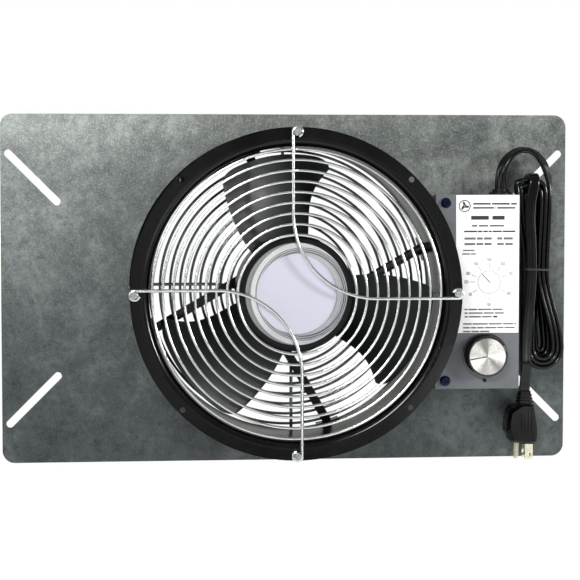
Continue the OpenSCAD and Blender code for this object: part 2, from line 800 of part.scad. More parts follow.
module hank_outline() {
    translate([hank_top[0], hank_top[1]]) circle(hank_top[2]);
    translate([hank_bottom[0], hank_bottom[1]]) circle(hank_bottom[2]);
    polygon([
        [hank_top[0] - hank_top[2], hank_top[1]], [waist[0], tie_y + 8], [waist[0], tie_y - 8],
        [hank_bottom[0] - hank_bottom[2], hank_bottom[1]],
        [hank_bottom[0] + hank_bottom[2], hank_bottom[1]],
        [waist[1], tie_y - 8], [waist[1], tie_y + 8],
        [hank_top[0] + hank_top[2], hank_top[1]]]);
}

module cord_hank() {
    color([0.05, 0.05, 0.05]) stand()
        translate([0, 0, hank_z0]) linear_extrude(hank_z1 - hank_z0) hank_outline();
}

module hank_tie() {
    reach = 0.2;
    w = waist[1] - waist[0] + 2 * reach;
    d = hank_z1 - hank_z0 + 2 * reach;
    color([0.3, 0.3, 0.3]) stand()
        translate([waist[0] - reach, tie_y - tie_h / 2, hank_z0 - reach]) difference() {
            translate([-tie_t, 0, -tie_t]) cube([w + 2 * tie_t, tie_h, d + 2 * tie_t]);
            translate([0, -1, 0]) cube([w, tie_h + 2, d]);
        }
}

module cord_tail() {
    color([0.05, 0.05, 0.05]) stand() swept_cord(TAIL_ROUTE, cord_w, cord_t, 12);
}

// ---- grounded plug, pins down ----
module plug_outline(inset) {
    polygon([
        [187 + inset, -97.2], [181.5 + inset, -98.6 - inset], [178.6 + inset, -103],
        [177.4 + inset, -109], [177 + inset, -118 + inset], [180.2 + inset, -125.4 + inset],
        [182.8, -126.9 + inset], [189.2, -126.9 + inset], [191, -128.3 + inset],
        [199.4, -128.3 + inset], [201.6 - inset, -126.8 + inset], [202.3 - inset, -119],
        [201.6 - inset, -112],
        [200.2 - inset, -105], [199 - inset, -97.2]]);
}

module plug_body() {
    color([0.07, 0.07, 0.07]) stand() translate([0, plug_lift, 0]) {
        difference() {
            hull() {
                translate([0, 0, plug_z - 8]) linear_extrude(16) plug_outline(0);
                translate([0, 0, plug_z - 11.5]) linear_extrude(23) plug_outline(2.5);
            }
            // shoulder at the foot of the grip, and ribs for the fingers
            translate([170, -132, 0]) cube([10.2, 12.4, 40]);
            for (k = [0 : 3])
                translate([187.4 + 2.8 * k, -119 + k, plug_z + 10.7]) cube([1.1, 17, 2]);
            // seat of the ground pin
            translate([186.2, -127, plug_z]) rotate([90, 0, 0]) cylinder(h = 4, r = 2.4 + play);
        }
        for (k = [0 : 3])
            translate([plug_neck_x, -88.4 - 2.6 * k, plug_z]) rotate([90, 0, 0])
                linear_extrude(1.6) rounded_outline(11.6 + k * 0.9, 7.6 + k * 1.2, 2);
        translate([plug_neck_x, -86, plug_z]) rotate([90, 0, 0])
            linear_extrude(11.8) rounded_outline(10.2, 6.2, 2);
    }
}

module plug_blades() {
    color([0.8, 0.78, 0.66]) stand()
        for (z = [-6.35, 6.35]) translate([195.6, plug_lift, plug_z + z]) difference() {
            translate([-3.2, -140.8, -0.75]) cube([6.4, 12.4, 1.5]);
            translate([0, -137, -2]) cylinder(h = 4, r = 1.6);
        }
}

module plug_ground_pin() {
    color([0.8, 0.78, 0.66]) stand() translate([186.2, plug_lift - 127, plug_z]) rotate([90, 0, 0]) {
        cylinder(h = 11.5, r = 2.4);
        translate([0, 0, 11.5]) sphere(2.4);
    }
}

mounting_plate();
plate_studs();
fan_frame();
rear_guard();
front_guard();
rear_guard_nuts();
guard_screws();
guard_nuts();
motor_spider();
motor_base();
motor_screws();
stator_core();
stator_windings();
front_bearing();
rear_bearing();
preload_washer();
motor_shaft();
shaft_circlip();
rotor_core();
rotor_shell();
rotor_cap();
rotor_label();
fan_blade(0);  // fan_blade_1
fan_blade(120);  // fan_blade_2
fan_blade(240);  // fan_blade_3
motor_lead();
lead_sleeve();
box_base();
box_rivets();
box_cover();
cover_screws();
rating_label();
humidistat_body();
humidistat_nut();
humidistat_shaft();
control_knob();
knob_disc();
dial_stop();
freeze_thermostat();
wire_connectors();
ground_screw();
line_wires();
neutral_wires();
ground_wire();
cord_bushing();
cord_lead();
cord_hank();
hank_tie();
cord_tail();
plug_body();
plug_blades();
plug_ground_pin();
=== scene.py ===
"""Ventilation fan on a galvanised mounting plate, with its control box and supply cord.

Sizes and places of the pieces are in millimetres in the CAD drawing's own axes: x across,
y up the plate, z out from the plate's back. world() turns them into the frame's metres.
The camera, materials, floor and lights are in the frame's metres.
"""

import math

import bmesh
import bpy
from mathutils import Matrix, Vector

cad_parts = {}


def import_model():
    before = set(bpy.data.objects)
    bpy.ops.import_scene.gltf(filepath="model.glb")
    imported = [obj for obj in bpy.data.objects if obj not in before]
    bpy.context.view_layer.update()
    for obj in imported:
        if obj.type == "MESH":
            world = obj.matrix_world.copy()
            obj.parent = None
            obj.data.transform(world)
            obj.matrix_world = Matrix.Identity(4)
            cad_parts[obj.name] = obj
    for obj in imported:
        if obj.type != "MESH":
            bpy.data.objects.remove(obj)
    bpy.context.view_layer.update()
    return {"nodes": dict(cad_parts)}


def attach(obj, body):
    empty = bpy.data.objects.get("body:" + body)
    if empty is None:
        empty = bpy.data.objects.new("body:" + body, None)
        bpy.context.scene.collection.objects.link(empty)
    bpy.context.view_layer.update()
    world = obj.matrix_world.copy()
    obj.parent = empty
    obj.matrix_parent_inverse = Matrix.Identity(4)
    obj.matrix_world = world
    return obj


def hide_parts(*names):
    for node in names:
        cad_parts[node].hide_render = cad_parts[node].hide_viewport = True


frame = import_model()
nodes = frame["nodes"]

MM = 0.001
FAN_X = 4.0
KNOB_X, KNOB_Y = 154.0, -52.0
CORD_EXIT_X, CORD_EXIT_Z = 171.0, 20.0


def world(x, y, z):
    return Vector((x * MM, -z * MM, y * MM))


# ---------------------------------------------------------------- camera
CAMERA_AT = Vector((-0.135, -1.48, 0.0845))
CAMERA_AIM = Vector((0.0029, 0.0, -0.0019))
SENSOR_MM, LENS_MM = 36, 114.1
cam_data = bpy.data.cameras.new("camera")
cam_data.sensor_width = SENSOR_MM
cam_data.lens = LENS_MM
cam_data.clip_end = 50
camera = bpy.data.objects.new("camera", cam_data)
camera.location = CAMERA_AT
camera.rotation_euler = (CAMERA_AIM - CAMERA_AT).to_track_quat("-Z", "Y").to_euler()
bpy.context.scene.collection.objects.link(camera)
bpy.context.scene.camera = camera


# ---------------------------------------------------------------- mesh helpers
def new_piece(name, verts, faces, mats, body="root", smooth=True, sharp_angle=35):
    mesh = bpy.data.meshes.new(name)
    mesh.from_pydata([tuple(v) for v in verts], [], faces)
    mesh.validate()
    obj = bpy.data.objects.new(name, mesh)
    bpy.context.scene.collection.objects.link(obj)
    for m in mats:
        mesh.materials.append(m)
    finish_mesh(obj, smooth, sharp_angle)
    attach(obj, body)
    return obj


def finish_mesh(obj, smooth, sharp_angle):
    bm = bmesh.new()
    bm.from_mesh(obj.data)
    bmesh.ops.recalc_face_normals(bm, faces=bm.faces)
    for f in bm.faces:
        f.smooth = smooth
    for e in bm.edges:
        if len(e.link_faces) == 2:
            e.smooth = e.calc_face_angle(0) < math.radians(sharp_angle)
    bm.to_mesh(obj.data)
    bm.free()


def loft(rings):
    """Vertices and faces of a closed skin over rings that have the same number of points."""
    n = len(rings[0])
    verts = [p for ring in rings for p in ring]
    faces = []
    for i in range(len(rings) - 1):
        for k in range(n):
            a, b = i * n + k, i * n + (k + 1) % n
            faces.append((a, b, b + n, a + n))
    faces.append(tuple(range(n - 1, -1, -1)))
    faces.append(tuple((len(rings) - 1) * n + k for k in range(n)))
    return verts, faces


def merge(parts):
    """Several (verts, faces) as one."""
    verts, faces = [], []
    for v, f in parts:
        base = len(verts)
        verts += list(v)
        faces += [tuple(i + base for i in face) for face in f]
    return verts, faces


def lathe(profile, x, z, steps):
    """Skin of (radius, height) points turned about the drawing's y axis through x and z."""
    rings = []
    for r, h in profile:
        ring = []
        for k in range(steps):
            a = 2 * math.pi * k / steps
            ring.append(world(x + r * math.cos(a), h, z + r * math.sin(a)))
        rings.append(ring)
    return loft(rings)


def bevel(obj, width, angle):
    """Round off edges sharper than angle, in degrees."""
    b = obj.modifiers.new("edge", "BEVEL")
    b.width = width * MM
    b.segments = 2
    b.limit_method = "ANGLE"
    b.angle_limit = math.radians(angle)


def smoothstep(t):
    t = min(1.0, max(0.0, t))
    return t * t * (3 - 2 * t)


# ---------------------------------------------------------------- materials
class Nodes:
    """Short way to build one material's node tree."""

    def __init__(self, name):
        self.mat = bpy.data.materials.new(name)
        self.mat.use_nodes = True
        self.tree = self.mat.node_tree
        self.bsdf = self.tree.nodes["Principled BSDF"]
        self.coords = self.node("ShaderNodeTexCoord").outputs["Object"]

    def node(self, kind, **props):
        n = self.tree.nodes.new(kind)
        for k, v in props.items():
            setattr(n, k, v)
        return n

    def link(self, a, b):
        self.tree.links.new(a, b)

    def set(self, **values):
        for k, v in values.items():
            self.bsdf.inputs[k.replace("_", " ")].default_value = v
        return self

    def mapped(self, scale=(1, 1, 1), rotation=(0, 0, 0), location=(0, 0, 0)):
        m = self.node("ShaderNodeMapping")
        m.inputs["Scale"].default_value = scale
        m.inputs["Rotation"].default_value = rotation
        m.inputs["Location"].default_value = location
        self.link(self.coords, m.inputs["Vector"])
        return m.outputs["Vector"]

    def noise(self, scale, detail=4.0, rough=0.55, distort=0.0, vector=None):
        n = self.node("ShaderNodeTexNoise")
        n.inputs["Scale"].default_value = scale
        n.inputs["Detail"].default_value = detail
        n.inputs["Roughness"].default_value = rough
        n.inputs["Distortion"].default_value = distort
        self.link(vector or self.coords, n.inputs["Vector"])
        return n.outputs["Fac"]

    def cells(self, scale, vector):
        """Grey level that is constant inside each crystal-like cell."""
        n = self.node("ShaderNodeTexVoronoi")
        n.inputs["Scale"].default_value = scale
        self.link(vector, n.inputs["Vector"])
        grey = self.node("ShaderNodeRGBToBW")
        self.link(n.outputs["Color"], grey.inputs["Color"])
        return grey.outputs["Val"]

    def waves(self, scale, distortion):
        """Bands across the object's Y axis."""
        n = self.node("ShaderNodeTexWave", bands_direction="Y")
        n.inputs["Scale"].default_value = scale
        n.inputs["Distortion"].default_value = distortion
        self.link(self.coords, n.inputs["Vector"])
        return n.outputs["Fac"]

    def radial(self, x, z):
        """X, Z and distance from an axis along Y through x and z."""
        s = self.node("ShaderNodeSeparateXYZ")
        self.link(self.mapped(location=(-x, 0, -z)), s.inputs["Vector"])
        dx, dz = s.outputs["X"], s.outputs["Z"]
        squares = self.math("ADD", self.math("MULTIPLY", dx, dx), self.math("MULTIPLY", dz, dz))
        return dx, dz, self.math("SQRT", squares)

    def ramp(self, fac, stops):
        r = self.node("ShaderNodeValToRGB")
        el = r.color_ramp.elements
        while len(el) < len(stops):
            el.new(0.5)
        for e, (pos, col) in zip(el, stops):
            e.position = pos
            e.color = (*col, 1) if isinstance(col, tuple) else (col, col, col, 1)
        self.link(fac, r.inputs["Fac"])
        return r.outputs["Color"]

    def math(self, op, a, b=0.0, clamp=False):
        m = self.node("ShaderNodeMath", operation=op, use_clamp=clamp)
        for i, v in enumerate((a, b)):
            if isinstance(v, (int, float)):
                m.inputs[i].default_value = v
            else:
                self.link(v, m.inputs[i])
        return m.outputs[0]

    def mix(self, fac, a, b, blend="MIX"):
        m = self.node("ShaderNodeMix", data_type="RGBA", blend_type=blend)
        for sock, v in ((m.inputs[0], fac), (m.inputs[6], a), (m.inputs[7], b)):
            if isinstance(v, (int, float)):
                sock.default_value = v
            elif isinstance(v, tuple):
                sock.default_value = (*v, 1)
            else:
                self.link(v, sock)
        return m.outputs[2]

    def to_range(self, value, low, high, out_low, out_high):
        r = self.node("ShaderNodeMapRange")
        limits = {"From Min": low, "From Max": high, "To Min": out_low, "To Max": out_high}
        for name, v in limits.items():
            r.inputs[name].default_value = v
        self.link(value, r.inputs["Value"])
        return r.outputs["Result"]

    def bump(self, height, strength=0.2, distance=0.0002):
        b = self.node("ShaderNodeBump")
        b.inputs["Strength"].default_value = strength
        b.inputs["Distance"].default_value = distance
        self.link(height, b.inputs["Height"])
        self.link(b.outputs["Normal"], self.bsdf.inputs["Normal"])
        return self

    def colour(self, source):
        self.link(source, self.bsdf.inputs["Base Color"])
        return self

    def rough(self, source):
        self.link(source, self.bsdf.inputs["Roughness"])
        return self

    def height(self):
        s = self.node("ShaderNodeSeparateXYZ")
        self.link(self.coords, s.inputs["Vector"])
        return s.outputs["Z"]


def worn(m, dark, light, patch=30.0, grain=900.0, rough=(0.35, 0.5), bump=0.1):
    """Base colour and roughness that vary softly in patches, with a fine grain."""
    big = m.noise(patch, 5, 0.6)
    fine = m.noise(grain, 3, 0.6)
    both = m.mix(0.35, big, fine)
    m.colour(m.ramp(both, [(0.3, dark), (0.7, light)]))
    m.rough(m.to_range(big, 0.3, 0.7, *rough))
    m.bump(fine, bump, 0.0001)
    return m


def galvanised_plate():
    m = Nodes("galvanised_plate").set(Metallic=0.5, Specular_IOR_Level=0.35)
    cloud = m.noise(9, 6, 0.72, 0.9)
    blotch = m.noise(48, 5, 0.7, 0.6, m.mapped((1, 1, 0.8)))
    grain = m.noise(230, 4, 0.75)
    fleck = m.noise(760, 3, 0.7)
    cells = m.cells(190, m.mapped((1, 1, 1.2), (0, 0.4, 0)))
    field = m.math("ADD", m.math("MULTIPLY", cloud, 0.42), m.math("MULTIPLY", blotch, 0.36))
    field = m.math("ADD", field, m.math("MULTIPLY", grain, 0.22))
    base = m.ramp(field, [(0.38, (0.05, 0.055, 0.056)), (0.5, (0.092, 0.1, 0.098)),
                          (0.62, (0.2, 0.212, 0.205))])
    base = m.mix(m.math("MULTIPLY", cells, 0.22), base, (0.22, 0.232, 0.224))
    base = m.mix(m.to_range(grain, 0.42, 0.28, 0, 0.45), base, (0.028, 0.03, 0.028))
    # painted light and shade: lighter, warmer and more flecked towards the top of the plate, cooler, darker
    # and plainer towards its foot
    height = m.math("ADD", m.height(), m.math("MULTIPLY", cloud, 0.12))
    # painted light: the bright flecks fade out towards the foot of the plate
    painted_light_rise = m.to_range(height, -0.1, 0.2, 0.3, 1.0)
    fleck_and_painted_light = m.math("MULTIPLY", m.to_range(fleck, 0.5, 0.75, 0, 0.5), painted_light_rise)
    base = m.mix(fleck_and_painted_light, base, (0.42, 0.44, 0.42))
    # painted shade darkens the foot and painted light brightens the head of the plate
    painted_shade_foot = m.mix(1.0, base, (0.60, 0.64, 0.67), "MULTIPLY")
    painted_light_head = m.mix(1.0, base, (1.3, 1.32, 1.26), "MULTIPLY")
    m.colour(m.mix(m.to_range(height, 0.02, 0.21, 0.0, 1.0), painted_shade_foot, painted_light_head))
    m.rough(m.to_range(m.mix(0.5, blotch, grain), 0.35, 0.65, 0.38, 0.56))
    return m.bump(m.mix(0.6, blotch, grain), 0.5, 0.0005)


def galvanised_box():
    m = Nodes("galvanised_box").set(Metallic=0.5)
    cloud = m.noise(22, 5, 0.6, 0.5)
    fine = m.noise(700, 3, 0.6)
    m.colour(m.ramp(m.mix(0.3, cloud, fine), [(0.3, (0.125, 0.132, 0.14)), (0.7, (0.175, 0.183, 0.192))]))
    m.rough(m.to_range(cloud, 0.3, 0.7, 0.42, 0.55))
    return m.bump(fine, 0.06, 0.0001)


def gloss_black(name, base=0.0015, light=0.0035, rough=(0.12, 0.22), coat=0.06, peel=160.0, bump=0.08):
    m = Nodes(name).set(Specular_IOR_Level=0.22, Coat_Weight=coat, Coat_Roughness=0.12)
    dust = m.noise(50, 6, 0.7)
    peel_h = m.noise(peel, 2, 0.5)
    m.colour(m.ramp(dust, [(0.35, (base, base * 1.02, base * 1.05)),
                           (0.75, (light, light * 1.03, light * 1.06))]))
    m.rough(m.to_range(dust, 0.35, 0.75, *rough))
    return m.bump(peel_h, bump, 0.0004)


def moulded_black(name, base=0.003, light=0.007, rough=(0.32, 0.45), grain=1500.0, bump=0.12, shine=0.2):
    m = Nodes(name).set(Specular_IOR_Level=shine)
    dark_tone = (base, base, base * 1.04)
    light_tone = (light, light * 1.01, light * 1.05)
    return worn(m, dark_tone, light_tone, 60, grain, rough, bump)


def plain_metal(name, dark, light, rough=(0.2, 0.35), patch=60.0, grain=1200.0, bump=0.06):
    return worn(Nodes(name).set(Metallic=1.0), dark, light, patch, grain, rough, bump)


def chrome_wire(name="chrome_wire", low=(0.66, 0.68, 0.66), high=(0.86, 0.88, 0.86)):
    m = Nodes(name).set(Metallic=1.0)
    drawn = m.noise(260, 3, 0.6)
    cloud = m.noise(35, 4, 0.6)
    m.colour(m.ramp(cloud, [(0.3, low), (0.7, high)]))
    m.rough(m.to_range(drawn, 0.3, 0.7, 0.1, 0.24))
    return m.bump(drawn, 0.05, 0.0001)


def blade_paint():
    m = Nodes("blade_paint").set(Metallic=0.1, Specular_IOR_Level=0.3)
    cloud = m.noise(26, 5, 0.65, 0.4)
    orange = m.noise(650, 3, 0.6)
    m.colour(m.ramp(m.mix(0.25, cloud, orange), [(0.3, (0.004, 0.005, 0.0045)),
                                                 (0.7, (0.009, 0.0115, 0.010))]))
    m.rough(m.to_range(cloud, 0.3, 0.7, 0.34, 0.46))
    return m.bump(orange, 0.12, 0.00015)


def spun_aluminium():
    """Turned disc: fine circles about the knob's axis, and soft bright wedges of painted sheen in place of
    its reflection, which turn with it.
    """
    m = Nodes("spun_aluminium").set(Metallic=1.0)
    x, z, radius = m.radial(KNOB_X * MM, KNOB_Y * MM)
    line = m.math("SINE", m.math("MULTIPLY", radius, 14000))
    fine = m.noise(500, 3, 0.6)
    groove = m.math("ADD", m.math("MULTIPLY", line, 0.5), fine)
    angle = m.math("ARCTAN2", z, x)
    # painted sheen: bright and dark wedges by angle about the knob's axis
    wide = m.math("SINE", m.math("ADD", m.math("MULTIPLY", angle, 2.0), 0.9))
    thin = m.math("SINE", m.math("ADD", m.math("MULTIPLY", angle, 5.0), 2.0))
    painted_sheen_star = m.math("ADD", m.math("MULTIPLY", wide, 0.42), m.math("MULTIPLY", thin, 0.26))
    uneven = m.math("MULTIPLY", m.noise(9, 2, 0.6), 0.1)
    painted_sheen = m.math("ADD", m.math("ADD", painted_sheen_star, 0.5), uneven, True)
    m.colour(m.ramp(painted_sheen, [(0.0, (0.24, 0.235, 0.22)), (1.0, (0.86, 0.85, 0.80))]))
    m.rough(m.to_range(fine, 0.3, 0.7, 0.24, 0.36))
    return m.bump(groove, 0.04, 0.00004)


def cap_metal():
    """Bright pressed steel, with painted reflections as thin dark circles about its axis where its fillets
    are, and painted light on its upper left side.
    """
    m = Nodes("bright_rotor_cap").set(Metallic=1.0)
    x, z, radius = m.radial(FAN_X * MM, 0)
    # painted reflections: thin dark circles at the radii of the cap's fillets
    lines = m.ramp(m.to_range(radius, 0.030, 0.041, 0, 1), [
        (0.0, 0.8), (0.16, 0.7), (0.205, 0.02), (0.25, 0.55), (0.30, 0.9), (0.345, 0.02), (0.385, 0.6),
        (0.43, 0.95), (0.475, 0.08), (0.52, 0.98), (0.8, 0.98), (0.88, 0.4)])
    cloud = m.noise(34, 3, 0.6)
    # painted light: lighter towards the upper left, darker towards the lower right
    side = m.math("ADD", m.math("MULTIPLY", x, -5.0), m.math("MULTIPLY", z, 3.0))
    painted_light_tint = m.ramp(m.math("ADD", m.math("ADD", side, 0.25), m.math("MULTIPLY", cloud, 0.5)),
                  [(0.25, (0.55, 0.56, 0.59)), (0.75, (0.98, 0.99, 1.0))])
    m.colour(m.mix(1.0, lines, painted_light_tint, "MULTIPLY"))
    m.rough(m.to_range(cloud, 0.3, 0.7, 0.16, 0.26))
    return m.bump(cloud, 0.05, 0.0002)


def label_film(name, paper):
    m = Nodes(name).set(Specular_IOR_Level=0.4, Coat_Weight=0.15, Coat_Roughness=0.3)
    cloud = m.noise(30, 4, 0.6)
    fibre = m.noise(900, 3, 0.6)
    low = tuple(c * 0.965 for c in paper)
    m.colour(m.ramp(m.mix(0.3, cloud, fibre), [(0.3, low), (0.7, paper)]))
    m.rough(m.to_range(cloud, 0.3, 0.7, 0.35, 0.5))
    return m.bump(fibre, 0.03, 0.0001)


def plastic(name, dark, light, rough=(0.35, 0.5)):
    return worn(Nodes(name), dark, light, 45, 1300, rough, 0.08)


def cord_vinyl():
    m = Nodes("cord_jacket").set(Specular_IOR_Level=0.36)
    dust = m.noise(70, 5, 0.7)
    grain = m.noise(1600, 2, 0.6)
    m.colour(m.ramp(dust, [(0.3, (0.0006, 0.0008, 0.001)), (0.75, (0.0016, 0.002, 0.0022))]))
    m.rough(m.to_range(dust, 0.3, 0.75, 0.12, 0.2))
    return m.bump(grain, 0.08, 0.0001)


def copper():
    m = Nodes("copper_wire").set(Metallic=1.0)
    strands = m.waves(420, 1.5)
    m.colour(m.ramp(strands, [(0.1, (0.24, 0.08, 0.03)), (0.9, (0.62, 0.27, 0.13))]))
    m.rough(m.to_range(m.noise(200), 0.3, 0.7, 0.25, 0.4))
    return m.bump(strands, 0.5, 0.0004)


def laminations():
    m = Nodes("lamination_steel").set(Metallic=0.9)
    layers = m.waves(620, 0.3)
    m.colour(m.ramp(layers, [(0.2, (0.08, 0.085, 0.095)), (0.8, (0.24, 0.25, 0.27))]))
    m.rough(m.to_range(m.noise(120), 0.3, 0.7, 0.4, 0.55))
    return m.bump(layers, 0.4, 0.0003)


slot_material = {
    "galvanised_plate": galvanised_plate(),
    "galvanised_box": galvanised_box(),
    "zinc_hardware": plain_metal("zinc_hardware", (0.42, 0.44, 0.47), (0.68, 0.7, 0.74)),
    "black_gloss_paint": gloss_black("black_gloss_paint"),
    "black_hub_paint": gloss_black("black_hub_paint", 0.002, 0.004, (0.2, 0.32), 0.03),
    "blade_paint": blade_paint(),
    "chrome_wire": chrome_wire(),
    "chrome_shaded": chrome_wire("chrome_shaded", (0.17, 0.175, 0.165), (0.3, 0.31, 0.295)),
    "cast_aluminium": plain_metal("cast_aluminium", (0.4, 0.41, 0.42), (0.6, 0.61, 0.62), (0.4, 0.55),
                                  90, 600, 0.3),
    "lamination_steel": laminations(),
    "copper_wire": copper(),
    "bearing_steel": plain_metal("bearing_steel", (0.5, 0.51, 0.53), (0.72, 0.73, 0.75), (0.12, 0.22)),
    "spring_steel": plain_metal("spring_steel", (0.2, 0.2, 0.22), (0.36, 0.36, 0.38), (0.25, 0.4)),
    "bright_rotor_cap": cap_metal(),
    "rotor_label_film": label_film("rotor_label_film", (0.465, 0.459, 0.54)),
    "black_insulation": plastic("black_insulation", (0.008, 0.008, 0.009), (0.018, 0.018, 0.02)),
    "white_insulation": plastic("white_insulation", (0.6, 0.59, 0.55), (0.78, 0.77, 0.73)),
    "green_insulation": plastic("green_insulation", (0.01, 0.12, 0.03), (0.02, 0.2, 0.06)),
    "black_plastic": moulded_black("black_plastic"),
    "dark_screws": plain_metal("dark_screws", (0.008, 0.011, 0.032), (0.02, 0.028, 0.065), (0.28, 0.42)),
    "white_label": label_film("white_label", (0.95, 0.955, 0.95)),
    "cream_plastic": plastic("cream_plastic", (0.55, 0.51, 0.4), (0.68, 0.64, 0.53)),
    "black_gloss_plastic": gloss_black("black_gloss_plastic", 0.006, 0.012, (0.12, 0.24), 0.3, 300, 0.03),
    "spun_aluminium": spun_aluminium(),
    "orange_plastic": plastic("orange_plastic", (0.55, 0.13, 0.02), (0.72, 0.2, 0.03)),
    "green_screw": plastic("green_screw", (0.01, 0.16, 0.05), (0.03, 0.26, 0.09), (0.25, 0.4)),
    "cord_jacket": cord_vinyl(),
    "tie_paper": plastic("tie_paper", (0.006, 0.006, 0.007), (0.016, 0.016, 0.018), (0.4, 0.6)),
    "plug_vinyl": moulded_black("plug_vinyl", 0.0008, 0.002, (0.18, 0.28), 900, 0.1, 0.13),
    "plug_brass": plain_metal("plug_brass", (0.48, 0.46, 0.34), (0.72, 0.70, 0.56), (0.22, 0.38)),
}


def mat(name):
    return slot_material[name].mat


# the rear guard is drawn in a darker chrome than the front one, to look shaded inside the tube
for node in nodes.values():
    found = [s.material.name.split(".")[0] for s in node.material_slots if s.material]
    if not found or found[0] not in slot_material:
        print("no slot for", node.name, found)
        continue
    node.data.materials.clear()
    node.data.materials.append(mat("chrome_shaded" if node.name == "rear_guard" else found[0]))


# ---------------------------------------------------------------- supply cord
CORD_W, CORD_T = 8.8, 3.5
VALLEY_SHARE, PROFILE_STEPS = 0.62, 14
RING_STEP = 1.7
LEAD_ROUTE = [
    (171, 76, 20, 68), (171, 80, 20, 68), (171, 84.5, 20, 67), (171.2, 89.5, 20, 62),
    (172.4, 96, 19.8, 54), (175.2, 102, 19.5, 44), (179.4, 106.8, 19, 32),
    (184.6, 110.2, 18.6, 22), (190.4, 111.4, 18.4, 16), (196.2, 110.4, 18.3, 18),
    (201.4, 107.2, 18.3, 28), (205.6, 102.2, 18.4, 40), (208.8, 95.6, 18.6, 46),
    (210.8, 88, 18.8, 34), (211.8, 81, 19, 16)]
TAIL_ROUTE = [
    (192, -58, 25.1), (192.1, -63, 24.6), (192.3, -68, 23), (192.6, -73, 20.4),
    (192.9, -77.5, 17.6), (193, -81, 15.8), (193, -84.5, 15), (193, -92, 15)]
TOP_Y, TIE_Y, LOW_Y = 72.0, 14.4, -49.5
TURN_GAP = 3.55
RIGHT_X = (211.7, 209.75, 222.2)   # outermost right run: top, tie, bottom
LEFT_X = (185.2, 191.5, 191.3)
REAR_RIGHT_X = (208.6, 207.4, 213.0)
REAR_LEFT_X = (188.4, 193.2, 199.6)
RUN_STEPS, BEND_STEPS = 40, 24
TOP_RISE, TOP_SAG, TOP_POWER = 1.36, 12.0, 0.55   # the upper bends are taller, lean left and are blunter
FRONT_Z, BACK_Z = 19.0, 10.15
REAR_FLAT_Z, FRONT_FLAT_Z = 3.95, 25.2
ON_EDGE = Vector((0, 0, 1))
FLAT = Vector((-1, 0, 0))


RUN_X = {"right": RIGHT_X, "left": LEFT_X, "rear right": REAR_RIGHT_X, "rear left": REAR_LEFT_X}


def run_x(side, turn, y):
    top, tie, low = RUN_X[side]
    if y > TIE_Y:
        x = tie + (top - tie) * smoothstep((y - TIE_Y) / (TOP_Y - TIE_Y))
    else:
        x = tie + (low - tie) * smoothstep((TIE_Y - y) / (TIE_Y - LOW_Y))
    return x - turn * TURN_GAP if "right" in side else x + turn * TURN_GAP


def straight(side, turn, down, z_of=None):
    """One run of the hank; z_of gives its own height where it changes layer."""
    out = []
    for i in range(RUN_STEPS + 1):
        y = TOP_Y + (LOW_Y - TOP_Y) * i / RUN_STEPS
        if not down:
            y = TOP_Y + LOW_Y - y
        z = z_of(y) if z_of else None
        out.append((run_x(side, turn, y), y, z))
    return out


def upper_bend(x0, x1):
    """Half loop over the top of the hank, from x0 to x1; it sags to the left."""
    out = []
    for i in range(1, BEND_STEPS):
        a = math.pi * i / BEND_STEPS
        x = (x0 + x1) / 2 + (x0 - x1) / 2 * math.cos(a) - TOP_SAG * math.sin(a) ** 2 * max(0.0, math.cos(a))
        out.append((x, TOP_Y + TOP_RISE * abs(x1 - x0) / 2 * math.sin(a) ** TOP_POWER, None))
    return out


def lower_bend(side, turn, to_side):
    """Round half loop under the hank, from a run to the one on the other side."""
    x0, x1 = run_x(side, turn, LOW_Y), run_x(to_side, turn, LOW_Y)
    out = []
    for i in range(1, BEND_STEPS):
        a = math.pi * i / BEND_STEPS
        x = (x0 + x1) / 2 + (x0 - x1) / 2 * math.cos(a)
        out.append((x, LOW_Y - abs(x1 - x0) / 2 * math.sin(a), None))
    return out


def hank_points():
    """The wound part: three turns inwards in the front layer, then one and a half in the rear layer."""
    pts = []

    def lay(points, z):
        for x, y, own_z in points:
            pts.append((x, y, own_z if own_z is not None else z, ON_EDGE))

    def between_layers(y):
        return FRONT_Z + (BACK_Z - FRONT_Z) * smoothstep((y + 40) / 100)

    for turn in (0, 1, 2):
        lay(straight("right", turn, True), FRONT_Z)
        lay(lower_bend("right", turn, "left"), FRONT_Z)
        if turn < 2:
            lay(straight("left", turn, False), FRONT_Z)
            lay(upper_bend(run_x("left", turn, TOP_Y), run_x("right", turn + 1, TOP_Y)), FRONT_Z)
    # the innermost left run goes from the front layer to the rear one
    lay(straight("left", 2, False, between_layers), None)
    top_from = run_x("left", 2, TOP_Y)
    for turn in (0, 1):
        lay(upper_bend(top_from, run_x("rear right", turn, TOP_Y)), BACK_Z)
        lay(straight("rear right", turn, True), BACK_Z)
        lay(lower_bend("rear right", turn, "rear left"), BACK_Z)
        if turn == 0:
            lay(straight("rear left", 0, False), BACK_Z)
            top_from = run_x("rear left", 0, TOP_Y)
    return pts


def tilted(degrees):
    a = math.radians(degrees)
    return Vector((-math.sin(a), 0, math.cos(a)))


# closing run behind the hank, as x, y, z and its tilt from standing on edge to lying flat
CLOSING_UP = [
    (203.15, -49.5, 10.15, 0), (203.1, -40, 9.7, 6), (202.8, -30, 8.2, 26), (202.3, -22, 6.4, 50),
    (201.5, -14, 5.0, 72), (200.4, -5, 4.2, 86), (198.6, 4, REAR_FLAT_Z, 90),
    (196, 14.4, REAR_FLAT_Z, 90), (197.2, 28, REAR_FLAT_Z, 90), (197.8, 45, REAR_FLAT_Z, 90),
    (198, 62, REAR_FLAT_Z, 90), (198, 76, REAR_FLAT_Z, 90)]
# and in front of it, as x and y
CLOSING_DOWN = [
    (196.6, 78), (195.0, 70), (194.4, 60), (194.8, 48), (195.6, 34), (196, 14.4), (195.4, 0),
    (194.4, -14), (193.1, -28), (192.3, -40), (192, -50)]
FOLD_X, FOLD_TOP_Y, FOLD_R, FOLD_STEPS = 198, 90.9, 5.5, 8


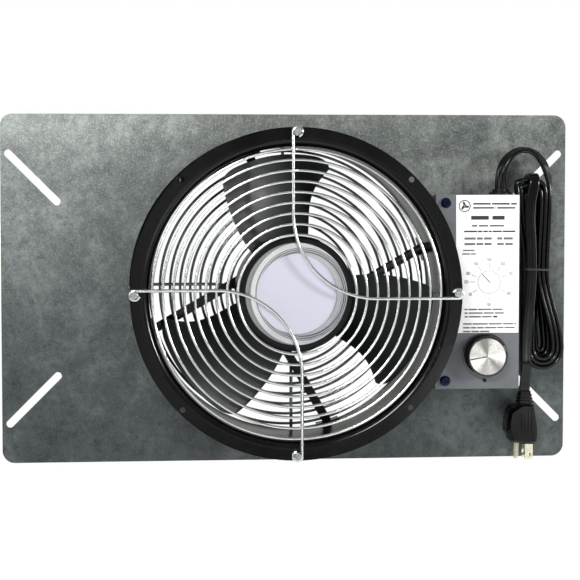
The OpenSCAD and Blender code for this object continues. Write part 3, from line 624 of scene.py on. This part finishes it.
def closing_points():
    """Last run: lies down behind the hank, folds over its top and comes down in front."""
    pts = [(x, y, z, tilted(t)) for x, y, z, t in CLOSING_UP]
    low = FOLD_TOP_Y - FOLD_R
    quarter = [math.pi / 2 * i / FOLD_STEPS for i in range(FOLD_STEPS + 1)]
    for a in quarter:
        pts.append((FOLD_X, low + FOLD_R * math.sin(a), REAR_FLAT_Z + FOLD_R * (1 - math.cos(a)), FLAT))
    for a in quarter:
        pts.append((FOLD_X, low + FOLD_R * math.cos(a), FRONT_FLAT_Z - FOLD_R * (1 - math.sin(a)), FLAT))
    pts += [(x, y, FRONT_FLAT_Z, FLAT) for x, y in CLOSING_DOWN]
    return pts + [(x, y, z, FLAT) for x, y, z in TAIL_ROUTE]


def through(points):
    """Catmull-Rom curve through sparse points, about 1 mm apart; the wide direction is blended."""
    out = []
    for i in range(len(points) - 1):
        p = [points[max(0, i - 1)], points[i], points[i + 1], points[min(len(points) - 1, i + 2)]]
        v = [Vector(q[:3]) for q in p]
        n = max(1, int((v[2] - v[1]).length))
        for k in range(n):
            t = k / n
            pos = 0.5 * (2 * v[1] + (v[2] - v[0]) * t + (2 * v[0] - 5 * v[1] + 4 * v[2] - v[3]) * t * t
                         + (3 * v[1] - v[0] - 3 * v[2] + v[3]) * t ** 3)
            out.append((pos, p[1][3].lerp(p[2][3], t)))
    out.append((Vector(points[-1][:3]), points[-1][3]))
    return out


def lead_points():
    """The arch from the box, with its wide direction twisted about the run by the fourth value."""
    pts = []
    for i, (x, y, z, t) in enumerate(LEAD_ROUTE):
        a = LEAD_ROUTE[max(0, i - 1)]
        b = LEAD_ROUTE[min(len(LEAD_ROUTE) - 1, i + 1)]
        run = Vector((b[0] - a[0], b[1] - a[1], b[2] - a[2])).normalized()
        side = run.cross(ON_EDGE).normalized()
        up = side.cross(run)
        w = math.radians(t)
        pts.append((x, y, z, up * math.cos(w) + side * math.sin(w)))
    return pts


def even(samples, step):
    """The same line at an even spacing, lightly smoothed."""
    dist = [0.0]
    for a, b in zip(samples, samples[1:]):
        dist.append(dist[-1] + (b[0] - a[0]).length)
    n = int(dist[-1] / step)
    out, j = [], 0
    for i in range(n + 1):
        d = dist[-1] * i / n
        while j < len(dist) - 2 and dist[j + 1] < d:
            j += 1
        span = dist[j + 1] - dist[j]
        t = 0 if span < 1e-9 else (d - dist[j]) / span
        (p0, w0), (p1, w1) = samples[j], samples[j + 1]
        out.append((p0.lerp(p1, t), w0.lerp(w1, t)))
    for _ in range(3):
        out = [out[0]] + [((out[i - 1][0] + 2 * out[i][0] + out[i + 1][0]) / 4,
                           (out[i - 1][1] + 2 * out[i][1] + out[i + 1][1]) / 4)
                          for i in range(1, len(out) - 1)] + [out[-1]]
    return out


def cord_profile():
    """Outline of a flat three-core cord: three round cores with shallow valleys between."""
    lobe, half = (CORD_W - CORD_T) / 2, CORD_T / 2
    valley = half * VALLEY_SHARE
    top = []
    for i in range(PROFILE_STEPS + 1):
        a = math.pi * i / PROFILE_STEPS
        u = CORD_W / 2 * math.cos(a)
        near = min((-lobe, 0, lobe), key=lambda c: abs(c - u))
        h = math.sqrt(max(0.0, half * half - (u - near) ** 2))
        top.append((u, max(h, valley) if abs(u) < lobe else h))
    return top + [(u, -h) for u, h in reversed(top[1:-1])]


def sweep(samples, profile):
    rings = []
    for i, (p, wide) in enumerate(samples):
        run = (samples[min(i + 1, len(samples) - 1)][0] - samples[max(i - 1, 0)][0]).normalized()
        w = (wide - run * wide.dot(run)).normalized()
        thin = run.cross(w)
        rings.append([world(*(p + w * u + thin * v)) for u, v in profile])
    return loft(rings)


cord_line = even(through(lead_points()) + through(hank_points() + closing_points()), RING_STEP)
cord = new_piece("supply_cord", *sweep(cord_line, cord_profile()), [mat("cord_jacket")], sharp_angle=70)
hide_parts("cord_lead", "cord_hank", "cord_tail")


# outline of the hank at the tie, as x and z, and the tie's own section, as height and thickness
TIE_OUTLINE = [(189.3, 5.2), (189.3, 23.8), (191.6, 27.2), (200.8, 27.2), (211.9, 23.9), (211.9, 5.6),
               (201, 2.0), (191.4, 2.0)]
TIE_SECTION = [(-0.9, 0), (-0.5, 0.14), (-0.25, 0.5), (0.25, 0.5), (0.5, 0.14), (0.9, 0), (0.5, -0.1),
               (-0.5, -0.1)]
TIE_SIDE_STEPS, TIE_SLOPE, TIE_INSET = 6, 0.9, 0.15


def rounded(line):
    """A closed line with its corners smoothed once."""
    out = []
    for i, (x, z) in enumerate(line):
        a, b = line[i - 1], line[(i + 1) % len(line)]
        out.append(((a[0] + 2 * x + b[0]) / 4, (a[1] + 2 * z + b[1]) / 4))
    return out


def tie_band():
    """A thin band with a wire rib, round the hank and a little askew."""
    line = []
    for i, p0 in enumerate(TIE_OUTLINE):
        p1 = TIE_OUTLINE[(i + 1) % len(TIE_OUTLINE)]
        for k in range(TIE_SIDE_STEPS):
            t = k / TIE_SIDE_STEPS
            line.append((p0[0] + (p1[0] - p0[0]) * t, p0[1] + (p1[1] - p0[1]) * t))
    line = rounded(rounded(line))
    verts, faces = [], []
    m, k = len(line), len(TIE_SECTION)
    for i, (x, z) in enumerate(line):
        a, b = line[i - 1], line[(i + 1) % m]
        d = Vector((b[0] - a[0], b[1] - a[1])).normalized()
        y = TIE_Y + TIE_SLOPE * math.sin(2 * math.pi * i / m)
        for h, thick in TIE_SECTION:
            o = thick - TIE_INSET
            verts.append(world(x - d.y * o, y + h, z + d.x * o))
    for i in range(m):
        for j in range(k):
            a, b = i * k + j, i * k + (j + 1) % k
            c, d = ((i + 1) % m) * k + (j + 1) % k, ((i + 1) % m) * k + j
            faces.append((a, b, c, d))
    return verts, faces


tie = new_piece("twist_tie", *tie_band(), [mat("tie_paper")], sharp_angle=60)
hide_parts("hank_tie")


# ---------------------------------------------------------------- strain relief at the box
RELIEF_PROFILE = [
    (7.0, 65.4), (7.0, 74.3), (9.0, 74.45), (9.2, 75.0), (9.2, 76.7), (8.8, 77.3), (7.2, 77.5), (7.0, 77.8),
    (6.9, 78.4), (6.1, 78.5), (6.05, 78.9), (6.6, 79.0), (6.4, 79.7), (5.6, 80.0), (3.0, 80.0)]


def strain_relief():
    return lathe(RELIEF_PROFILE, CORD_EXIT_X, CORD_EXIT_Z, 48)


relief = new_piece("strain_relief", *strain_relief(), [mat("black_plastic")], sharp_angle=40)
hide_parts("cord_bushing")


# ---------------------------------------------------------------- blades
HUB_R, TIP_R = 44.05, 107.0
BLADE_T = 1.7
CORNER_SHARE, CORNER_CUT = 0.16, 7.0
LEAD_AT_HUB, LEAD_AT_TIP = 138.2, 124   # degrees
TRAIL_ANGLE, TRAIL_BOW = 72.4, 5.3
LEAD_Z, TRAIL_Z, CAMBER = 82, 40, 4
BLADE_ROWS, BLADE_COLUMNS = 26, 44
BLADE_EDGE = 0.45


def blade_surface(u, v, side):
    """Radius, angle and height at share u from hub to tip and v from leading to trailing edge."""
    lead = LEAD_AT_HUB + (LEAD_AT_TIP - LEAD_AT_HUB) * u
    trail = TRAIL_ANGLE + TRAIL_BOW * math.sin(math.pi * u)
    corner = max(0.0, (abs(2 * v - 1) - 1 + 2 * CORNER_SHARE) / (2 * CORNER_SHARE))
    tip = TIP_R - CORNER_CUT * (1 - math.sqrt(max(0.0, 1 - corner * corner)))
    r = HUB_R + (tip - HUB_R) * u
    a = math.radians(lead + (trail - lead) * v)
    z = LEAD_Z + (TRAIL_Z - LEAD_Z) * v + CAMBER * 4 * v * (1 - v)
    return r, a, z + side * BLADE_T / 2


def blade(turn):
    """Front and back skin of one sheet blade and the rim that joins them."""
    nu, nv = BLADE_ROWS, BLADE_COLUMNS
    offset = math.radians(turn)
    verts = []
    for side in (1, -1):
        for i in range(nu + 1):
            for j in range(nv + 1):
                r, a, z = blade_surface(i / nu, j / nv, side)
                verts.append(world(r * math.cos(a + offset), r * math.sin(a + offset), z))
    row = nv + 1
    size = (nu + 1) * row
    faces = []
    for i in range(nu):
        for j in range(nv):
            q = i * row + j
            faces.append((q, q + row, q + row + 1, q + 1))
            faces.append((q + size, q + 1 + size, q + row + 1 + size, q + row + size))
    rim = [(j, j + 1) for j in range(nv)]
    rim += [(i * row + nv, (i + 1) * row + nv) for i in range(nu)]
    rim += [(nu * row + j + 1, nu * row + j) for j in range(nv - 1, -1, -1)]
    rim += [((i + 1) * row, i * row) for i in range(nu - 1, -1, -1)]
    faces += [(a, b, b + size, a + size) for a, b in rim]
    return verts, faces


for index, turn in ((1, 0), (2, 120), (3, 240)):
    piece = new_piece(f"blade_{index}", *blade(turn), [mat("blade_paint")], body="rotor")
    bevel(piece, BLADE_EDGE, 50)
    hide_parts(f"fan_blade_{index}")


# ---------------------------------------------------------------- printing on the label
LABEL_Z = 46.8
PRINT_T, PRINT_SINK = 0.06, 0.03
PRINT_LOW, PRINT_HIGH = LABEL_Z - PRINT_SINK, LABEL_Z + PRINT_T


def inked(corners):
    """A flat patch of ink with the given outline, standing just proud of the label."""
    return loft([[world(x, y, z) for x, y in corners] for z in (PRINT_LOW, PRINT_HIGH)])


def bar(x0, y0, x1, y1):
    return inked([(x0, y0), (x1, y0), (x1, y1), (x0, y1)])


def stroke(x0, y0, x1, y1, w):
    d = Vector((x1 - x0, y1 - y0)).normalized() * w / 2
    return inked([(x0 + d.y, y0 - d.x), (x1 + d.y, y1 - d.x), (x1 - d.y, y1 + d.x), (x0 - d.y, y0 + d.x)])


def hoop(cx, cy, r, w, steps=64):
    verts, faces = [], []
    inner, outer = r - w / 2, r + w / 2
    for k in range(steps):
        a = 2 * math.pi * k / steps
        for rr, z in ((inner, PRINT_LOW), (outer, PRINT_LOW), (outer, PRINT_HIGH), (inner, PRINT_HIGH)):
            verts.append(world(cx + rr * math.cos(a), cy + rr * math.sin(a), z))
    for k in range(steps):
        n = (k + 1) % steps
        for j in range(4):
            m = (j + 1) % 4
            faces.append((k * 4 + j, n * 4 + j, n * 4 + m, k * 4 + m))
    return verts, faces


def words(x, y, h, lengths, gap):
    """A line of plain word-length bars in place of printed words."""
    out = []
    for n in lengths:
        out.append(bar(x, y - h / 2, x + n, y + h / 2))
        x += n + gap
    return out


SEGMENTS = {"0": "abcdef", "1": "bc", "2": "abged", "3": "abgcd", "4": "fgbc", "5": "afgcd", "6": "afgedc",
            "7": "abc", "8": "abcdefg", "9": "abcdfg"}
DIGIT_W, DIGIT_H, DIGIT_PEN, DIGIT_GAP = 1.15, 1.9, 0.36, 0.6


def digit(ch, x, y):
    """One figure out of straight strokes, from its lower left corner."""
    w, h, cap = DIGIT_W, DIGIT_H, DIGIT_PEN / 2
    place = {"a": (0, h, w, h), "b": (w, h / 2, w, h), "c": (w, 0, w, h / 2), "d": (0, 0, w, 0),
             "e": (0, 0, 0, h / 2), "f": (0, h / 2, 0, h), "g": (0, h / 2, w, h / 2)}
    out = []
    for s in SEGMENTS[ch]:
        x0, y0, x1, y1 = place[s]
        cap_x, cap_y = (cap if x0 != x1 else 0), (cap if y0 != y1 else 0)
        out.append(stroke(x + x0 - cap_x, y + y0 - cap_y, x + x1 + cap_x, y + y1 + cap_y, DIGIT_PEN))
    return out


def number(text, cx, cy):
    total = len(text) * DIGIT_W + (len(text) - 1) * DIGIT_GAP
    out = []
    for i, ch in enumerate(text):
        out += digit(ch, cx - total / 2 + i * (DIGIT_W + DIGIT_GAP), cy - DIGIT_H / 2)
    return out


MARK_X, MARK_Y = 137.0, 66.5
DIAL_X, DIAL_Y, DIAL_R = 157.0, 6.2, 9.0
DIAL_MARKS = [(212, "10"), (179, "20"), (157, "30"), (126, "40"), (90, "50"), (54, "60"), (22, "70"),
              (-30, "80"), (-90, "90")]
TICK_IN, TICK_OUT = 11.2, 15.2


def pictogram():
    """A plain sign for a fan: ring, hub and three blades."""
    out = [hoop(MARK_X, MARK_Y, 4.4, 0.8), hoop(MARK_X, MARK_Y, 0.9, 1.1, 24)]
    for k in range(3):
        a = math.radians(90 + 120 * k)
        out.append(stroke(MARK_X + 1.2 * math.cos(a), MARK_Y + 1.2 * math.sin(a),
                          MARK_X + 3.4 * math.cos(a + 0.35), MARK_Y + 3.4 * math.sin(a + 0.35), 1.7))
    return out


def printed():
    """Bars in place of the label's lines of print, from its top down, and a plain dial."""
    bold, soft = pictogram(), []
    bold += words(143.8, 68.2, 1.4, (14.0, 14.2, 4.6), 1.1)
    bold += words(143.8, 65.0, 1.3, (16.8, 0.6, 14.6), 0.9)
    bold += words(142.2, 57.2, 3.1, (14.2, 9.8), 2.9)
    soft += words(142.8, 50.9, 1.5, (4.4, 7.4, 11.4), 1.3)
    bold += words(136.6, 46.4, 1.3, (10.4, 3.8, 3.8, 2.4, 7.6, 10.2), 0.6)
    soft += words(137.0, 40.8, 1.8, (9.0, 4.6, 6.2), 1.0)
    soft += words(163.2, 40.8, 1.8, (4.0, 7.4), 1.2)
    soft += words(137.0, 36.4, 1.8, (8.6, 5.4, 5.8), 1.0)
    soft += words(163.2, 36.4, 1.8, (5.4, 6.0), 1.2)
    soft += words(135.8, 31.4, 1.1, (9.4,), 1.0)
    soft += words(135.2, 28.6, 1.1, (6.2, 4.4), 0.6)
    soft.append(hoop(DIAL_X, DIAL_Y, DIAL_R, 0.4, 96))
    bold.append(stroke(DIAL_X + 0.8, DIAL_Y - 0.4, DIAL_X - 5.6, DIAL_Y + 6.4, 0.7))
    for angle, text in DIAL_MARKS:
        a = math.radians(angle)
        c, s = math.cos(a), math.sin(a)
        soft.append(stroke(DIAL_X + TICK_IN * c, DIAL_Y + TICK_IN * s,
                           DIAL_X + TICK_OUT * c, DIAL_Y + TICK_OUT * s, 0.42))
        soft += number(text, DIAL_X + 18.4 * c, DIAL_Y + 18.0 * s)
    for i, row in enumerate(((2.2, 7.0, 10.8, 8.2), (2.4, 11.4, 8.0, 7.4), (2.8, 9.6, 7.8))):
        soft += words(137.4, -15.4 - 2.9 * i, 1.2, row, 0.8)
    bold += words(160.4, -21.2, 1.4, (3.4,), 0)
    for i, row in enumerate(((7.0, 12.2, 10.6, 8.4, 1.6), (5.6, 4.2, 5.4, 9.4, 5.0, 8.2), (6.0, 6.2, 7.6))):
        soft += words(136.2, -26.9 - 3.0 * i, 1.15, row, 0.75)
    return bold, soft


def ink(name, low, high):
    m = Nodes(name).set(Specular_IOR_Level=0.3)
    dots = m.noise(2200, 2, 0.5)
    m.colour(m.ramp(dots, [(0.3, (low, low, low)), (0.7, (high, high, high))]))
    m.rough(m.to_range(dots, 0.3, 0.7, 0.45, 0.6))
    return m.bump(dots, 0.05, 0.00005)


bold_print, soft_print = printed()
for name, parts, material in (("label_print_dark", bold_print, ink("ink_dark", 0.02, 0.045)),
                              ("label_print_fine", soft_print, ink("ink_fine", 0.1, 0.17))):
    piece = new_piece(name, *merge(parts), [material.mat], smooth=False)


# ---------------------------------------------------------------- softened edges of CAD parts
EDGE_WIDTHS = {"fan_frame": 0.5, "box_cover": 0.5, "mounting_plate": 0.3, "control_knob": 0.4,
               "plug_body": 0.8, "plug_blades": 0.2}
for name, edge in EDGE_WIDTHS.items():
    bevel(nodes[name], edge, 40)


# ---------------------------------------------------------------- floor, world and lights
def stage_material():
    m = Nodes("stage_white")
    cloud = m.noise(2.0, 3, 0.5)
    m.colour(m.ramp(cloud, [(0.3, (0.93, 0.93, 0.93)), (0.7, (0.96, 0.96, 0.96))]))
    m.rough(m.to_range(cloud, 0.3, 0.7, 0.75, 0.85))
    return m.mat


FLOOR_Z, FLOOR_HALF = -0.62, 1.5


def stage_floor():
    corners = [(x * FLOOR_HALF, y * FLOOR_HALF, FLOOR_Z) for x, y in ((-1, -1), (1, -1), (1, 1), (-1, 1))]
    mesh = bpy.data.meshes.new("floor")
    mesh.from_pydata(corners, [], [(0, 1, 2, 3)])
    mesh.materials.append(stage_material())
    obj = bpy.data.objects.new("floor", mesh)
    bpy.context.scene.collection.objects.link(obj)
    return obj


stage_floor()

# the room's light by direction: dimmest from the front (-Y), brightest from behind the object (+Y)
ROOM_TONES = [(0.0, (0.2, 0.205, 0.21, 1)), (0.5, (0.34, 0.345, 0.345, 1)), (0.95, (0.42, 0.43, 0.41, 1))]


def studio_world():
    """The room lights the object softly; the backdrop itself is plain white."""
    studio = bpy.data.worlds.new("studio")
    bpy.context.scene.world = studio
    studio.use_nodes = True
    tree = studio.node_tree
    coord = tree.nodes.new("ShaderNodeTexCoord")
    split = tree.nodes.new("ShaderNodeSeparateXYZ")
    remap = tree.nodes.new("ShaderNodeMapRange")
    ramp = tree.nodes.new("ShaderNodeValToRGB")
    remap.inputs["From Min"].default_value = -1
    tree.links.new(coord.outputs["Generated"], split.inputs["Vector"])
    tree.links.new(split.outputs["Y"], remap.inputs["Value"])
    tree.links.new(remap.outputs["Result"], ramp.inputs["Fac"])
    ramp.color_ramp.elements.new(0.5)
    for element, (position, tone) in zip(ramp.color_ramp.elements, ROOM_TONES):
        element.position = position
        element.color = tone
    seen = tree.nodes.new("ShaderNodeLightPath")
    shown = tree.nodes.new("ShaderNodeMix")
    shown.data_type = "RGBA"
    tree.links.new(seen.outputs["Is Camera Ray"], shown.inputs[0])
    tree.links.new(ramp.outputs["Color"], shown.inputs[6])
    shown.inputs[7].default_value = (1, 1, 1, 1)
    tree.links.new(shown.outputs[2], tree.nodes["Background"].inputs["Color"])


studio_world()


def area(name, at, aim, size, power):
    light = bpy.data.lights.new(name, "AREA")
    light.shape = "RECTANGLE"
    light.size, light.size_y = size
    light.energy = power
    o = bpy.data.objects.new(name, light)
    o.location = at
    o.rotation_euler = (Vector(aim) - Vector(at)).to_track_quat("-Z", "Y").to_euler()
    bpy.context.scene.collection.objects.link(o)
    return o


area("key_right", (1.5, -0.95, 0.3), (0.05, 0, 0), (0.24, 0.3), 20)
area("top_left_soft", (-0.5, -1.5, 0.7), (-0.1, 0, 0.08), (0.6, 0.3), 18)
area("left_strip", (-0.9, -1.3, 0.0), (0.18, 0, 0), (0.09, 1.2), 1.6)
area("right_strip", (1.15, -1.3, 0.0), (0.18, 0, 0), (0.07, 1.2), 1.0)
area("right_rim", (1.6, 0.14, 0.1), (0.18, -0.03, 0), (0.25, 1.0), 5)
glance = area("upper_left_glance", (-0.5, -1.45, 0.46), (-0.25, 0, 0.17), (0.16, 0.16), 0.14)
glance.data.spread = math.radians(22)
area("cap_soft", (0.135, -1.6, -0.1), (0, 0, 0), (0.5, 0.4), 0.42)
area("left_edge", (-1.5, -0.7, 0.5), (0, 0, 0), (0.15, 0.9), 4)
area("low_right_soft", (0.52, -1.5, -0.28), (0.15, 0, -0.05), (0.3, 0.2), 0.9)

bpy.context.scene.view_settings.view_transform = "Standard"
